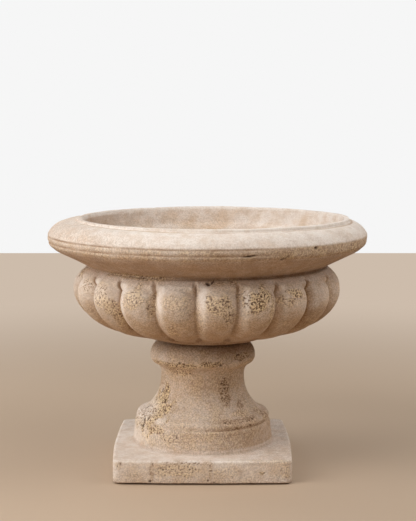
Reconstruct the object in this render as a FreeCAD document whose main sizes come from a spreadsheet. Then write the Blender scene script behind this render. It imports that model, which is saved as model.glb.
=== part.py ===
import FreeCAD, Part
import os
from types import SimpleNamespace

import Sketcher

# A cast-stone urn planter.  A wide bowl with a moulded rim and a belt of raised
# lobes stands on a turned pedestal with a square plinth.
# Millimetres, +Z up.  The origin is on the floor, under the axis of the rim.
# Each piece is drawn in its own frame, with its underside at height 0, and is
# then set in place.  An outline is a half section: (radius, height).

doc = FreeCAD.newDocument("urn_planter")

# ---------------------------------------------------------------- sizes

SIZES = [
    # where the pieces stand
    ("pad_thickness", 2.5, "rubber pad under each corner"),
    ("joint_gap", 4.5, "mortar bed between the pedestal and the bowl"),
    ("pedestal_shift", -8.3, "pedestal's axis, from the rim's axis"),
    ("opening_shift", 10.1, "axis of the planting hollow, from the rim's axis"),
    ("lobe_turn", 3.9, "turn of the lobes about the bowl's axis, in degrees"),
    # rim of the bowl
    ("bowl_height", 212.0, "seat to the top of the lip"),
    ("rim_radius", 280.0, "widest point of the rim"),
    ("lip_width", 10.0, "flat lip round the opening"),
    ("lip_height", 3.5, "top of the lip over the roll's crown"),
    ("lip_round", 2.0, "worn outer edge of the lip"),
    ("lip_foot_drop", 1.0, "where the roll dies into the lip, under its top"),
    ("crown_radius", 244.0, "crown of the roll"),
    ("roll_height", 24.5, "crown of the roll down to the first groove"),
    ("roll_curve", 38.0, "curve of the roll's section"),
    ("groove_depth", 2.5, "the two grooves that set off the rim's bands"),
    ("groove_width", 2.4, "mouth of each groove"),
    ("upper_band_height", 7.4, "band between the grooves"),
    ("upper_band_set_in", 1.2, "how far the upper band leans in"),
    ("lower_band_height", 8.8, "band under the lower groove"),
    ("lower_band_set_in", 7.3, "how far the lower band rounds in"),
    ("lower_band_curve", 16.0, "curve of the lower band's section"),
    ("soffit_set_in", 18.0, "outer end of the rim's sloping underside, in from the rim"),
    ("soffit_drop", 7.0, "that place, under the lower band"),
    ("soffit_round", 30.0, "curve between the two"),
    # neck under the rim; heights are above the bowl's seat
    ("neck_radius", 208.0, "narrowest place, under the rim"),
    ("neck_height", 130.0, "height of the neck"),
    ("neck_groove_depth", 2.5, "groove under the neck"),
    ("neck_groove_height", 4.0, "height of that groove"),
    ("neck_band_radius", 212.0, "top of the plain band above the lobes"),
    ("neck_band_height", 9.0, "height of that band, which slopes out to the shoulder"),
    ("shoulder_radius", 222.0, "shoulder behind the tops of the lobes"),
    ("shoulder_height", 6.0, "height of the shoulder"),
    # lobes
    ("lobe_count", 20, "raised lobes round the bowl"),
    ("lobe_centre_radius", 160.0, "centre of a lobe, from the bowl's axis"),
    ("lobe_centre_height", 72.0, "centre of a lobe"),
    ("lobe_half_length", 79.0, "half length of a lobe"),
    ("lobe_half_depth", 52.0, "half depth of a lobe"),
    ("lobe_half_width", 49.0, "half width of a lobe"),
    ("lobe_tilt", 23.5, "slope of a lobe's length, in degrees"),
    # underside of the bowl
    ("body_radius", 203.0, "bowl's body behind the lobes"),
    ("body_height", 80.0, "where the body turns down, under the shoulder"),
    ("belly_radius", 154.0, "where the underside comes out from the lobes"),
    ("belly_height", 17.0, "height of that place"),
    ("belly_curve", 300.0, "curve of the underside's section"),
    ("ring_radius", 100.0, "ring round the seat"),
    ("ring_height", 6.0, "height of that ring"),
    ("ring_chamfer", 3.0, "worn lower edge of the ring"),
    # planting hollow, about its own axis
    ("opening_radius", 229.0, "planting opening at the lip"),
    ("mouth_depth", 30.0, "steep upper part of the hollow's wall"),
    ("mouth_set_in", 6.0, "how far that part leans in"),
    ("waist_radius", 174.0, "hollow inside the neck"),
    ("waist_height", 128.0, "height of that place"),
    ("waist_curve", 95.0, "curve of the wall above the waist"),
    ("well_height", 92.0, "where the wall turns in to the floor"),
    ("well_curve", 72.0, "curve from the wall to the floor"),
    ("floor_height", 38.0, "top of the floor"),
    ("floor_radius", 105.0, "flat part of the floor"),
    # drain, and the spigot that locates the bowl
    ("drain_radius", 12.5, "drain hole"),
    ("spigot_radius", 34.0, "boss that drops into the pedestal"),
    ("spigot_length", 20.0, "length of that boss"),
    ("spigot_chamfer", 3.0, "lead-in on its lower edge"),
    # plinth
    ("plinth_side", 302.0, "side of the square plinth"),
    ("plinth_height", 39.5, "height of the plinth"),
    ("plinth_corner", 10.0, "radius of its upright corners"),
    ("plinth_edge", 4.0, "radius of its worn top edge"),
    # turned part of the pedestal; heights are above the plinth's underside
    ("pedestal_height", 221.0, "underside to the top of the collar"),
    ("foot_radius", 124.0, "drum where it meets the plinth"),
    ("foot_cove", 4.0, "cove at the foot of the drum"),
    ("drum_radius", 120.0, "drum at its top"),
    ("drum_height", 77.5, "top of the drum"),
    ("drum_round", 3.0, "worn top edge of the drum"),
    ("quirk_depth", 4.5, "groove under the bead"),
    ("quirk_height", 2.0, "height of that groove"),
    ("bead_height", 14.0, "height of the half-round bead"),
    ("bead_set_in", 3.5, "how far the bead's top lies in from its foot"),
    ("bead_curve", 8.0, "curve of the bead's section"),
    ("flare_radius", 106.0, "foot of the stem's flare"),
    ("flare_curve", 75.0, "curve of the stem's flare"),
    ("stem_radius", 73.5, "narrowest place of the stem"),
    ("flare_drop", 65.5, "where the flare begins, under the top of the collar"),
    ("cove_drop", 58.0, "where the cove under the collar begins, under that top"),
    ("cove_curve", 24.0, "curve of that cove"),
    ("collar_foot_radius", 83.0, "underside of the collar"),
    ("collar_foot_drop", 41.0, "that underside, under the top"),
    ("collar_under_curve", 13.0, "curve under the collar's widest point"),
    ("collar_radius", 93.0, "widest point of the collar"),
    ("collar_drop", 27.0, "that point, under the top"),
    ("collar_over_curve", 26.5, "curve over the collar's widest point"),
    ("collar_top_radius", 68.0, "flat top of the collar"),
    # hollow inside the pedestal
    ("socket_radius", 46.0, "recess that takes the spigot"),
    ("socket_depth", 24.0, "depth of that recess"),
    ("passage_top_radius", 27.0, "drain passage under the recess"),
    ("passage_foot_radius", 32.0, "drain passage where the hollow foot begins"),
    ("passage_foot_height", 105.0, "height of that place"),
    ("roof_curve", 80.0, "curve of the hollow foot's roof"),
    ("foot_hollow_radius", 88.0, "hollow foot below its roof"),
    ("foot_hollow_height", 45.0, "height of that place"),
    ("foot_mouth_radius", 92.0, "hollow foot at the underside"),
    # mortar bed and pads
    ("bed_radius", 64.0, "outer edge of the mortar bed"),
    ("bed_clearance", 2.0, "bed kept back from the recess"),
    ("bed_rake", 4.0, "curve of the bed's raked outer edge"),
    ("pad_radius", 15.0, "rubber pad"),
    ("pad_inset", 26.0, "centre of a pad, in from the plinth's sides"),
    ("pad_chamfer", 0.5, "lower edge of a pad"),
]

sizes = doc.addObject("Spreadsheet::Sheet", "sizes")
for row, (alias, number, note) in enumerate(SIZES, start=1):
    sizes.set(f"A{row}", alias)
    sizes.set(f"B{row}", str(number))
    sizes.set(f"C{row}", note)
    sizes.setAlias(f"B{row}", alias)
doc.recompute()


class Size:
    """A number together with the sheet expression that gives it."""

    def __init__(self, text, number):
        self.text = text
        self.number = float(number)

    def __add__(self, other):
        return Size(f"{self.text} + {other.text}", self.number + other.number)

    def __sub__(self, other):
        return Size(f"{self.text} - ({other.text})", self.number - other.number)

    def __truediv__(self, share):
        return Size(f"({self.text}) / {share}", self.number / share)

    def __neg__(self):
        return Size(f"-({self.text})", -self.number)


at = SimpleNamespace(
    **{alias: Size("sizes." + alias, sizes.get(alias)) for alias, _, _ in SIZES}
)
zero = Size("0", 0)

# ---------------------------------------------------------------- drawing tools

LEAST_CUT = 1.0  # cubic millimetres that a cut takes away, at the least
SAME_HEIGHT = 1e-4  # millimetres


def new_body(name):
    body = doc.addObject("PartDesign::Body", name)
    body.Label = name
    return body


def origin_item(body, role):
    return next(item for item in body.Origin.OriginFeatures if item.Role == role)


def new_sketch(body, name, role="XZ_Plane"):
    sketch = body.newObject("Sketcher::SketchObject", name)
    sketch.AttachmentSupport = [(origin_item(body, role), "")]
    sketch.MapMode = "FlatFace"
    return sketch


def bind(feature, name, size):
    feature.setExpression(name, size.text)


def constrain(sketch, kind, places, size):
    """Add a dimension to a sketch and bind it to the sheet."""
    held = sketch.addConstraint(Sketcher.Constraint(kind, *places, size.number))
    bind(sketch, f"Constraints[{held}]", size)


def hold_point(sketch, geometry, point, across, up):
    """Hold a point to its distances from the sketch's origin."""
    for kind, axis, size in (("DistanceX", -2, across), ("DistanceY", -1, up)):
        if size is zero:
            sketch.addConstraint(Sketcher.Constraint("PointOnObject", geometry, point, axis))
        else:
            constrain(sketch, kind, (-1, 1, geometry, point), size)


def arc_between(start, end, radius, side):
    """The shorter arc from start to end; side is +1 to bulge left of the way, -1 right."""
    half = (end - start).Length / 2
    left = FreeCAD.Vector(start.y - end.y, end.x - start.x, 0).normalize()
    crown = (start + end) / 2 + left * side * (radius - (radius**2 - half**2) ** 0.5)
    return Part.Arc(start, crown, end)


def draw_outline(sketch, corners):
    """Draw a closed outline.

    A corner is (radius, height), or (radius, height, curve, side) where the
    outline leaves it as an arc.
    """
    places = [FreeCAD.Vector(corner[0].number, corner[1].number, 0) for corner in corners]
    ends = []
    for corner, start, end in zip(corners, places, places[1:] + places[:1]):
        if len(corner) == 2:
            geometry = sketch.addGeometry(Part.LineSegment(start, end))
            ends.append((geometry, 1, 2))
            continue
        curve, side = corner[2:]
        geometry = sketch.addGeometry(arc_between(start, end, curve.number, side))
        constrain(sketch, "Radius", (geometry,), curve)
        # An arc is kept anticlockwise, so one that bulges left runs backwards.
        ends.append((geometry, 2, 1) if side > 0 else (geometry, 1, 2))
    for number, (geometry, first, _) in enumerate(ends):
        before, _, last = ends[number - 1]
        sketch.addConstraint(Sketcher.Constraint("Coincident", before, last, geometry, first))
        hold_point(sketch, geometry, first, *corners[number][:2])


def draw_circle(sketch, radius):
    circle = Part.Circle(FreeCAD.Vector(), FreeCAD.Vector(0, 0, 1), radius.number)
    geometry = sketch.addGeometry(circle)
    sketch.addConstraint(Sketcher.Constraint("Coincident", geometry, 3, -1, 1))
    constrain(sketch, "Radius", (geometry,), radius)


def draw_square(sketch, side):
    """A square about the sketch's origin."""
    half = side.number / 2
    places = [FreeCAD.Vector(x * half, y * half, 0) for x, y in ((-1, -1), (1, -1), (1, 1), (-1, 1))]
    lines = [
        sketch.addGeometry(Part.LineSegment(start, end))
        for start, end in zip(places, places[1:] + places[:1])
    ]
    for number, line in enumerate(lines):
        sketch.addConstraint(Sketcher.Constraint("Coincident", lines[number - 1], 2, line, 1))
        level = "Horizontal" if number % 2 == 0 else "Vertical"
        sketch.addConstraint(Sketcher.Constraint(level, line))
    sketch.addConstraint(Sketcher.Constraint("Symmetric", lines[0], 1, lines[2], 1, -1, 1))
    sketch.addConstraint(Sketcher.Constraint("Equal", lines[0], lines[1]))
    constrain(sketch, "DistanceX", (lines[0], 1, lines[0], 2), side)


def turn(body, kind, name, corners, shift=None):
    """Turn a half section all the way round its upright axis, to add or to cut."""
    sketch = new_sketch(body, name + "_section")
    draw_outline(sketch, corners)
    if shift is not None:
        bind(sketch, "AttachmentOffset.Base.x", shift)
    volume = body.Shape.Volume if kind == "PartDesign::Groove" else None
    feature = body.newObject(kind, name)
    feature.Profile = sketch
    feature.ReferenceAxis = (sketch, ["V_Axis"])
    feature.Angle = 360
    doc.recompute()
    if volume is not None and body.Shape.Volume > volume - LEAST_CUT:
        raise RuntimeError(name + " cut nothing")
    return feature


def extrude(body, name, sketch, length):
    feature = body.newObject("PartDesign::Pad", name)
    feature.Profile = sketch
    bind(feature, "Length", length)
    doc.recompute()
    return feature


def dress_edges(body, kind, name, base, wanted, size_name, size):
    """Fillet or chamfer every edge of a feature for which wanted(edge) is true."""
    edges = [f"Edge{n}" for n, edge in enumerate(base.Shape.Edges, start=1) if wanted(edge)]
    feature = body.newObject(kind, name)
    feature.Base = (base, edges)
    bind(feature, size_name, size)
    doc.recompute()
    return feature


def is_upright(edge):
    box = edge.BoundBox
    return box.ZLength > max(box.XLength, box.YLength)


def lies_at(height):
    """A test for edges that lie wholly at one height."""

    def test(edge):
        box = edge.BoundBox
        return max(abs(box.ZMin - height), abs(box.ZMax - height)) < SAME_HEIGHT

    return test


# ---------------------------------------------------------------- bowl

LEFT = 1
RIGHT = -1


def bowl_section():
    """Half section of the solid casting, up its outside from the spigot's centre."""
    seat = at.spigot_length
    top = seat + at.bowl_height
    crown = top - at.lip_height
    groove_1_top = crown - at.roll_height
    groove_1_foot = groove_1_top - at.groove_width
    groove_2_top = groove_1_foot - at.upper_band_height
    groove_2_foot = groove_2_top - at.groove_width
    band_foot = groove_2_foot - at.lower_band_height
    upper_band_radius = at.rim_radius - at.upper_band_set_in
    neck = seat + at.neck_height
    neck_band_top = neck - at.neck_groove_height
    shoulder_top = neck_band_top - at.neck_band_height
    return [
        (zero, zero),
        (at.spigot_radius - at.spigot_chamfer, zero),
        (at.spigot_radius, at.spigot_chamfer),
        (at.spigot_radius, seat),
        (at.ring_radius - at.ring_chamfer, seat),
        (at.ring_radius, seat + at.ring_chamfer),
        (at.ring_radius, seat + at.ring_height, at.belly_curve, RIGHT),
        (at.belly_radius, seat + at.belly_height),
        (at.body_radius, seat + at.body_height),
        (at.shoulder_radius, shoulder_top - at.shoulder_height),
        (at.shoulder_radius, shoulder_top),
        (at.neck_band_radius, neck_band_top),
        (at.neck_radius - at.neck_groove_depth, neck - at.neck_groove_height / 2),
        (at.neck_radius, neck),
        (at.rim_radius - at.soffit_set_in, band_foot - at.soffit_drop, at.soffit_round, RIGHT),
        (upper_band_radius - at.lower_band_set_in, band_foot, at.lower_band_curve, RIGHT),
        (upper_band_radius, groove_2_foot),
        (upper_band_radius - at.groove_depth, groove_2_foot + at.groove_width / 2),
        (upper_band_radius, groove_2_top),
        (at.rim_radius, groove_1_foot),
        (at.rim_radius - at.groove_depth, groove_1_foot + at.groove_width / 2),
        (at.rim_radius, groove_1_top, at.roll_curve, RIGHT),
        (at.crown_radius, crown),
        (at.opening_radius - at.mouth_set_in, top - at.lip_foot_drop),
        (zero, top - at.lip_foot_drop),
    ]


def lip_section():
    """Disc whose edge is the flat lip; the planting hollow leaves a ring of it."""
    top = at.spigot_length + at.bowl_height
    foot = top - at.lip_height - at.mouth_set_in
    lip_radius = at.opening_radius + at.lip_width
    return [
        (zero, foot),
        (lip_radius, foot),
        (lip_radius, top - at.lip_round, at.lip_round, RIGHT),
        (lip_radius - at.lip_round, top),
        (zero, top),
    ]


def hollow_section():
    """Half section of the planting hollow, open past the top of the lip."""
    seat = at.spigot_length
    top = seat + at.bowl_height
    return [
        (zero, seat + at.floor_height),
        (at.floor_radius, seat + at.floor_height, at.well_curve, RIGHT),
        (at.waist_radius, seat + at.well_height),
        (at.waist_radius, seat + at.waist_height, at.waist_curve, LEFT),
        (at.opening_radius - at.mouth_set_in, top - at.mouth_depth),
        (at.opening_radius, top),
        (at.opening_radius, top + at.lip_height),
        (zero, top + at.lip_height),
    ]


def drain_section():
    through = at.spigot_length + at.floor_height
    return [(zero, zero), (at.drain_radius, zero), (at.drain_radius, through), (zero, through)]


def add_lobes(body):
    """A belt of tilted ellipsoids, each standing half out of the bowl's side."""
    lobe = body.newObject("PartDesign::AdditiveEllipsoid", "lobe")
    lobe.AttachmentSupport = [(origin_item(body, "XY_Plane"), "")]
    lobe.MapMode = "FlatFace"
    outer_end_up = FreeCAD.Rotation(FreeCAD.Vector(0, -1, 0), at.lobe_tilt.number)
    lobe.AttachmentOffset = FreeCAD.Placement(FreeCAD.Vector(), outer_end_up)
    bind(lobe, "Radius1", at.lobe_half_depth)
    bind(lobe, "Radius2", at.lobe_half_length)
    bind(lobe, "Radius3", at.lobe_half_width)
    bind(lobe, "AttachmentOffset.Base.x", at.lobe_centre_radius)
    bind(lobe, "AttachmentOffset.Base.z", at.spigot_length + at.lobe_centre_height)
    bind(lobe, "AttachmentOffset.Rotation.Angle", at.lobe_tilt)
    belt = body.newObject("PartDesign::PolarPattern", "lobe_belt")
    belt.Originals = [lobe]
    belt.Axis = (origin_item(body, "Z_Axis"), [""])
    belt.Angle = 360
    bind(belt, "Occurrences", at.lobe_count)
    body.Tip = belt
    doc.recompute()


def make_bowl():
    body = new_body("bowl")
    turn(body, "PartDesign::Revolution", "bowl_casting", bowl_section())
    add_lobes(body)
    turn(body, "PartDesign::Revolution", "lip", lip_section(), at.opening_shift)
    turn(body, "PartDesign::Groove", "planting_hollow", hollow_section(), at.opening_shift)
    turn(body, "PartDesign::Groove", "drain", drain_section())
    seat_height = at.pad_thickness + at.pedestal_height + at.joint_gap
    bind(body, "Placement.Base.z", seat_height - at.spigot_length)
    bind(body, "Placement.Rotation.Angle", at.lobe_turn)
    return body


# ---------------------------------------------------------------- pedestal


def pedestal_section():
    """Half section of the turned part, up its outside from inside the plinth."""
    top = at.pedestal_height
    bead_foot = at.drum_height + at.quirk_height
    bead_top = bead_foot + at.bead_height
    quirk_radius = at.drum_radius - at.quirk_depth
    return [
        (zero, at.plinth_height / 2),
        (at.foot_radius + at.foot_cove, at.plinth_height / 2),
        (at.foot_radius + at.foot_cove, at.plinth_height, at.foot_cove, LEFT),
        (at.foot_radius, at.plinth_height + at.foot_cove),
        (at.drum_radius, at.drum_height - at.drum_round, at.drum_round, RIGHT),
        (at.drum_radius - at.drum_round, at.drum_height),
        (quirk_radius, at.drum_height),
        (quirk_radius, bead_foot, at.bead_curve, RIGHT),
        (quirk_radius - at.bead_set_in, bead_top),
        (at.flare_radius, bead_top, at.flare_curve, LEFT),
        (at.stem_radius, top - at.flare_drop),
        (at.stem_radius, top - at.cove_drop, at.cove_curve, LEFT),
        (at.collar_foot_radius, top - at.collar_foot_drop, at.collar_under_curve, RIGHT),
        (at.collar_radius, top - at.collar_drop, at.collar_over_curve, RIGHT),
        (at.collar_top_radius, top),
        (zero, top),
    ]


def core_section():
    """Half section of the recess, the drain passage and the hollow foot."""
    socket_floor = at.pedestal_height - at.socket_depth
    return [
        (zero, zero),
        (at.foot_mouth_radius, zero),
        (at.foot_hollow_radius, at.foot_hollow_height, at.roof_curve, RIGHT),
        (at.passage_foot_radius, at.passage_foot_height),
        (at.passage_top_radius, socket_floor),
        (at.socket_radius, socket_floor),
        (at.socket_radius, at.pedestal_height),
        (zero, at.pedestal_height),
    ]


def make_pedestal():
    body = new_body("pedestal")
    square = new_sketch(body, "plinth_plan", "XY_Plane")
    draw_square(square, at.plinth_side)
    block = extrude(body, "plinth", square, at.plinth_height)
    corners = dress_edges(
        body, "PartDesign::Fillet", "plinth_corners", block, is_upright, "Radius", at.plinth_corner
    )
    plinth_top = lies_at(at.plinth_height.number)
    dress_edges(
        body, "PartDesign::Fillet", "plinth_edges", corners, plinth_top, "Radius", at.plinth_edge
    )
    turn(body, "PartDesign::Revolution", "turned_stem", pedestal_section())
    turn(body, "PartDesign::Groove", "core", core_section())
    bind(body, "Placement.Base.x", at.pedestal_shift)
    bind(body, "Placement.Base.z", at.pad_thickness)
    return body


# ---------------------------------------------------------------- mortar bed and pads


def make_mortar_bed():
    inner = at.socket_radius + at.bed_clearance
    body = new_body("mortar_bed")
    section = [
        (inner, zero),
        (at.bed_radius, zero, at.bed_rake, LEFT),
        (at.bed_radius, at.joint_gap),
        (inner, at.joint_gap),
    ]
    turn(body, "PartDesign::Revolution", "bed", section)
    bind(body, "Placement.Base.x", at.pedestal_shift)
    bind(body, "Placement.Base.z", at.pad_thickness + at.pedestal_height)
    return body


def make_foot_pad(name, side_x, side_y):
    body = new_body(name)
    disc = new_sketch(body, name + "_plan", "XY_Plane")
    draw_circle(disc, at.pad_radius)
    pad = extrude(body, name + "_disc", disc, at.pad_thickness)
    dress_edges(
        body, "PartDesign::Chamfer", name + "_edge", pad, lies_at(0), "Size", at.pad_chamfer
    )
    out = at.plinth_side / 2 - at.pad_inset
    bind(body, "Placement.Base.x", at.pedestal_shift + (out if side_x > 0 else -out))
    bind(body, "Placement.Base.y", out if side_y > 0 else -out)
    return body


# ---------------------------------------------------------------- build, check and write

CORNERS = {
    "foot_pad_front_left": (-1, -1),
    "foot_pad_front_right": (1, -1),
    "foot_pad_rear_left": (-1, 1),
    "foot_pad_rear_right": (1, 1),
}

pieces = [make_bowl(), make_pedestal(), make_mortar_bed()]
pieces += [make_foot_pad(name, *sides) for name, sides in CORNERS.items()]
doc.recompute()

for item in doc.Objects:
    if "Invalid" in item.State or "Error" in item.State:
        raise RuntimeError(f"{item.Name} failed: {item.State}")
for piece in pieces:
    if piece.Shape.isNull() or not piece.Shape.isValid() or len(piece.Shape.Solids) != 1:
        raise RuntimeError(piece.Label + " is not one valid solid")

os.makedirs("parts", exist_ok=True)
for piece in pieces:
    piece.Shape.exportStep(f"parts/{piece.Label}.step")
    box = piece.Shape.BoundBox
    print(
        f"{piece.Label}: {piece.Shape.Volume / 1e6:.3f} litres,"
        f" {box.XLength:.1f} x {box.YLength:.1f} x {box.ZLength:.1f} mm"
    )
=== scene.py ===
import math

import bpy
import numpy as np
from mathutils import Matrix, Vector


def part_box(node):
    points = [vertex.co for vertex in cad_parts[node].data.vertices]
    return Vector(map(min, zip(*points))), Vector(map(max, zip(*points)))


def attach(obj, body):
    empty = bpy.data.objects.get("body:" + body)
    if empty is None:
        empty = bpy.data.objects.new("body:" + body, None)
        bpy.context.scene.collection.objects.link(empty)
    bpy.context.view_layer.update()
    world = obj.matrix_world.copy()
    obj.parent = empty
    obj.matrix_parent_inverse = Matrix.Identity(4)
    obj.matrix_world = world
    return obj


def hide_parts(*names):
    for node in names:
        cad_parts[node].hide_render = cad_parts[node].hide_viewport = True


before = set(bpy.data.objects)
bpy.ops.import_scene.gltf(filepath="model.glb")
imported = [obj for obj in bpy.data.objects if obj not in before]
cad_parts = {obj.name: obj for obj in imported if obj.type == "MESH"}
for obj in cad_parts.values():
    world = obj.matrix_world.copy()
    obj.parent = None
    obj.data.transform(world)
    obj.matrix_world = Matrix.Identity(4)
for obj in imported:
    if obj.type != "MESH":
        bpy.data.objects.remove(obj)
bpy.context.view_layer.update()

# The looks of a weathered cast-stone urn planter.  Both castings get a skin: a closed
# grid of columns round the axis and rows along the outline, worn smooth, wobbled by
# hand and eaten by pits.  Sizes are millimetres until a mesh is written, in metres.
# A bearing is an angle in degrees about +Z: 0 faces the camera, 90 is to its right.

MM = 0.001

# ---------------------------------------------------------------- sizes from the frame


def corners_of(node):
    low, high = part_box(node)
    return np.array(low) / MM, np.array(high) / MM


pedestal_low, pedestal_high = corners_of("pedestal")
SEAT = corners_of("mortar_bed")[1][2]
TOP = corners_of("bowl")[1][2]
PEDESTAL_AXIS = (pedestal_low + pedestal_high)[:2] / 2
PLINTH_HALF = (pedestal_high - pedestal_low)[0] / 2
PLINTH_FOOT = pedestal_low[2]
OPENING_AXIS = np.array([10.1, 0.7])

# ---------------------------------------------------------------- grids

LEFT = 1
RIGHT = -1
FINE = 1.2  # spacing of rows where the surface is seen close
COARSE = 3.0  # spacing of rows inside


def arc_line(start, end, radius, side, step):
    """Points from start to end along the shorter arc; side +1 bulges left of the way."""
    start, end = np.array(start, float), np.array(end, float)
    way = end - start
    half = np.hypot(*way) / 2
    left = np.array([-way[1], way[0]]) / (2 * half)
    centre = (start + end) / 2 - left * side * math.sqrt(radius**2 - half**2)
    first = math.atan2(*(start - centre)[::-1])
    sweep = -side * 2 * math.asin(half / radius)
    count = max(2, math.ceil(abs(sweep) * radius / step) + 1)
    angles = first + sweep * np.linspace(0, 1, count)
    return centre + radius * np.stack([np.cos(angles), np.sin(angles)], 1)


def trace(corners, step):
    """Points along an outline of (radius, height) or (radius, height, curve, side)."""
    line = []
    for corner, after in zip(corners, corners[1:]):
        if len(corner) == 4:
            part = arc_line(corner[:2], after[:2], corner[2], corner[3], step)
        else:
            length = math.dist(corner[:2], after[:2])
            count = max(2, math.ceil(length / step) + 1)
            part = np.linspace(corner[:2], after[:2], count)
        line.append(part[:-1])
    return np.concatenate(line + [[corners[-1][:2]]])


def along(line):
    """Distance along a line of points."""
    return np.concatenate([[0], np.cumsum(np.hypot(*np.diff(line, axis=0).T))])


def every(line, step):
    """The same line with evenly spaced points."""
    length = along(line)
    count = max(2, round(length[-1] / step) + 1)
    places = np.linspace(0, length[-1], count)
    return np.stack([np.interp(places, length, line[:, i]) for i in (0, 1)], 1)


def columns_of(line, count):
    """An outline as rows, the same in each column: radius and height, rows x columns."""
    return np.repeat(line[:, :1], count, 1), np.repeat(line[:, 1:], count, 1)


def joined(sections):
    """Sections of rows put end to end; each starts on the last row of the one before."""
    radius = np.concatenate([part[0][:-1] for part in sections])
    height = np.concatenate([part[1][:-1] for part in sections])
    return radius, height


def soften(points, passes):
    """Wear along the rows, which close on themselves: a binomial blur."""
    for _ in range(passes):
        points = (np.roll(points, 1, 0) + 2 * points + np.roll(points, -1, 0)) / 4
    return points


def normals_of(points):
    """Outward unit normals of a grid closed both ways."""
    round_ = np.roll(points, -1, 1) - np.roll(points, 1, 1)
    up = np.roll(points, -1, 0) - np.roll(points, 1, 0)
    normal = np.cross(round_, up)
    length = np.linalg.norm(normal, axis=2, keepdims=True)
    return normal / np.maximum(length, 1e-9)


def bearing_of(points, axis=(0.0, 0.0)):
    return np.degrees(np.arctan2(points[..., 0] - axis[0], axis[1] - points[..., 1]))


# ---------------------------------------------------------------- noise and ramps

NOISE_CELLS = 1024
noise_source = np.random.default_rng(8)
SHUFFLED = noise_source.permutation(NOISE_CELLS)
SLOPES = noise_source.normal(size=(NOISE_CELLS, 3))
SLOPES /= np.linalg.norm(SLOPES, axis=1, keepdims=True)
NOISE_GAIN = 1.6  # brings the noise to about -1..1


def noise(points, size, seed):
    """Smooth noise in space, about -1 to 1, with bumps about as wide as size."""
    place = points / size + seed * 17.3
    cell = np.floor(place).astype(np.int64)
    inside = place - cell
    fade = inside**3 * (inside * (inside * 6 - 15) + 10)
    total = np.zeros(points.shape[:-1])
    for corner in np.ndindex(2, 2, 2):
        x, y, z = np.moveaxis(cell + corner, -1, 0) % NOISE_CELLS
        number = SHUFFLED[(SHUFFLED[(SHUFFLED[x] + y) % NOISE_CELLS] + z) % NOISE_CELLS]
        share = np.prod(np.where(corner, fade, 1 - fade), axis=-1)
        total += share * ((inside - corner) * SLOPES[number]).sum(-1)
    return total * NOISE_GAIN


def layered(points, size, seed, layers):
    """Noise of several sizes, each half as wide and half as strong as the last."""
    return sum(noise(points, size / 2**n, seed + n) / 2**n for n in range(layers))


def step_up(low, high, value):
    """From 0 at low to 1 at high, smoothly; low may be the larger."""
    share = np.clip((value - low) / (high - low), 0, 1)
    return share * share * (3 - 2 * share)


def bump(middle, half_width, value):
    """1 at the middle, down to 0 at half_width from it."""
    return step_up(1, 0, np.abs(value - middle) / half_width)


def between(start, full, still, end, value):
    """0 before start, 1 from full to still, 0 after end."""
    return step_up(start, full, value) * step_up(end, still, value)


def profile(value, steps):
    """A curve through (value, result) steps."""
    places, results = zip(*steps)
    return np.interp(value, places, results)


# ---------------------------------------------------------------- bowl

BOWL_COLUMNS = 1200
bowl_angle = np.arange(BOWL_COLUMNS) * 2 * math.pi / BOWL_COLUMNS

# Outlines are over the bowl's seat.
DRAIN = 12.5
SPIGOT = [(DRAIN, -20), (31, -20), (34, -17), (34, 0), (97, 0), (100, 3), (100, 6)]
BODY = [
    (100, 6, 300, RIGHT), (154, 17), (203, 80), (211, 99), (222, 111), (222, 117), (212, 126),
]
NECK = [(212, 126), (207, 128.3), (208, 130)]
SOFFIT = [
    (208, 130), (262, 156, 30, RIGHT), (271.5, 163, 16, RIGHT), (278.8, 171.8), (278.8, 174.2),
    (280, 184),
]
ROLL = [(280, 184, 38, RIGHT), (244, 206.6), (220, 210)]
LIP_RADIUS = 239
LIP_ROUND = 2.0
OPENING = 229
HOLLOW = [(OPENING, 212), (223, 182, 95, RIGHT), (174, 128), (174, 92, 72, LEFT), (105, 38)]
FLOOR = [(105, 38), (DRAIN, 38), (DRAIN, -20)]
GROOVE_HEIGHTS = (183.0, 173.0)
GROOVE_DEPTH = 2.8
GROOVE_HALF_WIDTH = 2.4
NECK_LINE = 128.5

LOBES = 20
LOBE_TURN = 3.9
LOBE_CENTRE = (160, 72)
LOBE_HALF = (79, 52, 49)  # along its length, across it, in width
LOBE_TILT = math.radians(23.5)  # how far the outer end of the length is raised
LOBE_FOCUS = (150, 72)  # the rays that find the lobes' surface start here
LOBE_FLATNESS = 0.3  # how much broader than an ellipsoid the face of a lobe is
LOBES_VARY = 0.012  # how much a lobe is larger or smaller than the next
VALLEY_REACH = 12  # how far a valley's dirt climbs the two lobes beside it
LOBE_PITCH = 2 * math.pi / LOBES
SPANDREL_DEPTH = 8  # how far the shoulder falls back between the lobes' tops


def raised(outline):
    """An outline over the bowl's seat, set at its height in the frame."""
    return [(corner[0], corner[1] + SEAT) + tuple(corner[2:]) for corner in outline]


def off_axis(radius, share=1.0):
    """Distance from the rim's axis of a circle about the opening's axis."""
    x, y = OPENING_AXIS * share
    ahead = x * np.cos(bowl_angle) + y * np.sin(bowl_angle)
    aside = x * np.sin(bowl_angle) - y * np.cos(bowl_angle)
    return ahead + np.sqrt(radius**2 - aside**2)


def smooth_max(one, other, blend):
    near = np.maximum(blend - np.abs(one - other), 0) / blend
    return np.maximum(one, other) + near**2 * blend / 4


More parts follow.
